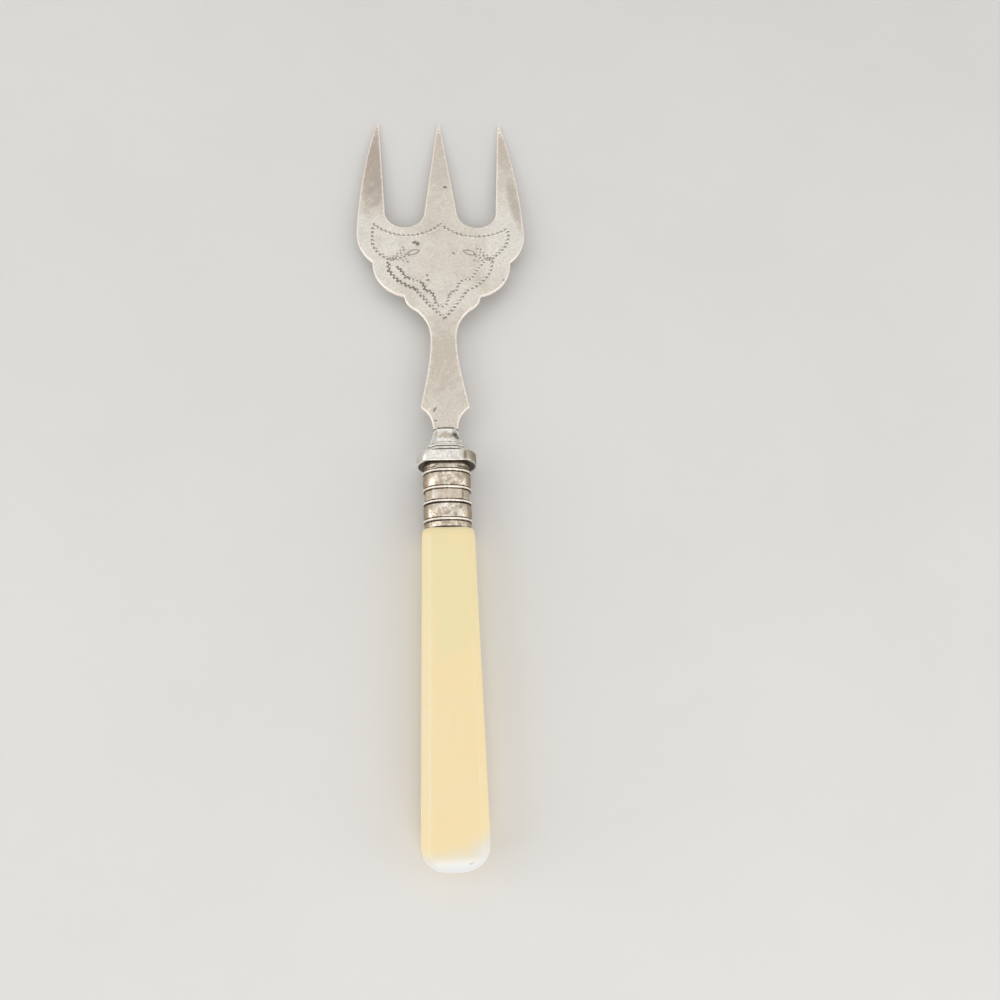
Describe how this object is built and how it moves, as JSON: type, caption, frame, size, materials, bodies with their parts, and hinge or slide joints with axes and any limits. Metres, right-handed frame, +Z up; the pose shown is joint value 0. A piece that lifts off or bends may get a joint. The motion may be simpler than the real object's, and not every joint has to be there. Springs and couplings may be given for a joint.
{
  "type": "serving fork",
  "caption": "Serving fork with a flat engraved plated blade, waisted stem, collared bolster, ribbed ferrule and bevelled cream handle, for lifting bread or cold meat.",
  "frame": {"origin": "on the table under the middle of the fork's length and width", "axes": "+X across the fork, +Y towards the tines, +Z up out of the engraved face"},
  "size_m": [0.0496, 0.2158, 0.011],
  "materials": {
    "plated_blade": "satin",
    "plated_bolster": "polished",
    "tang_steel": "satin",
    "tarnished_ferrule": "satin",
    "cream_handle": "gloss",
    "cutlers_cement": "matte"
  },
  "bodies": {
    "root": {"fork_blade": "plated_blade", "bolster": "plated_bolster", "tang": "tang_steel", "ferrule": "tarnished_ferrule", "handle": "cream_handle", "tang_cement": "cutlers_cement"}
  },
  "joints": []
}
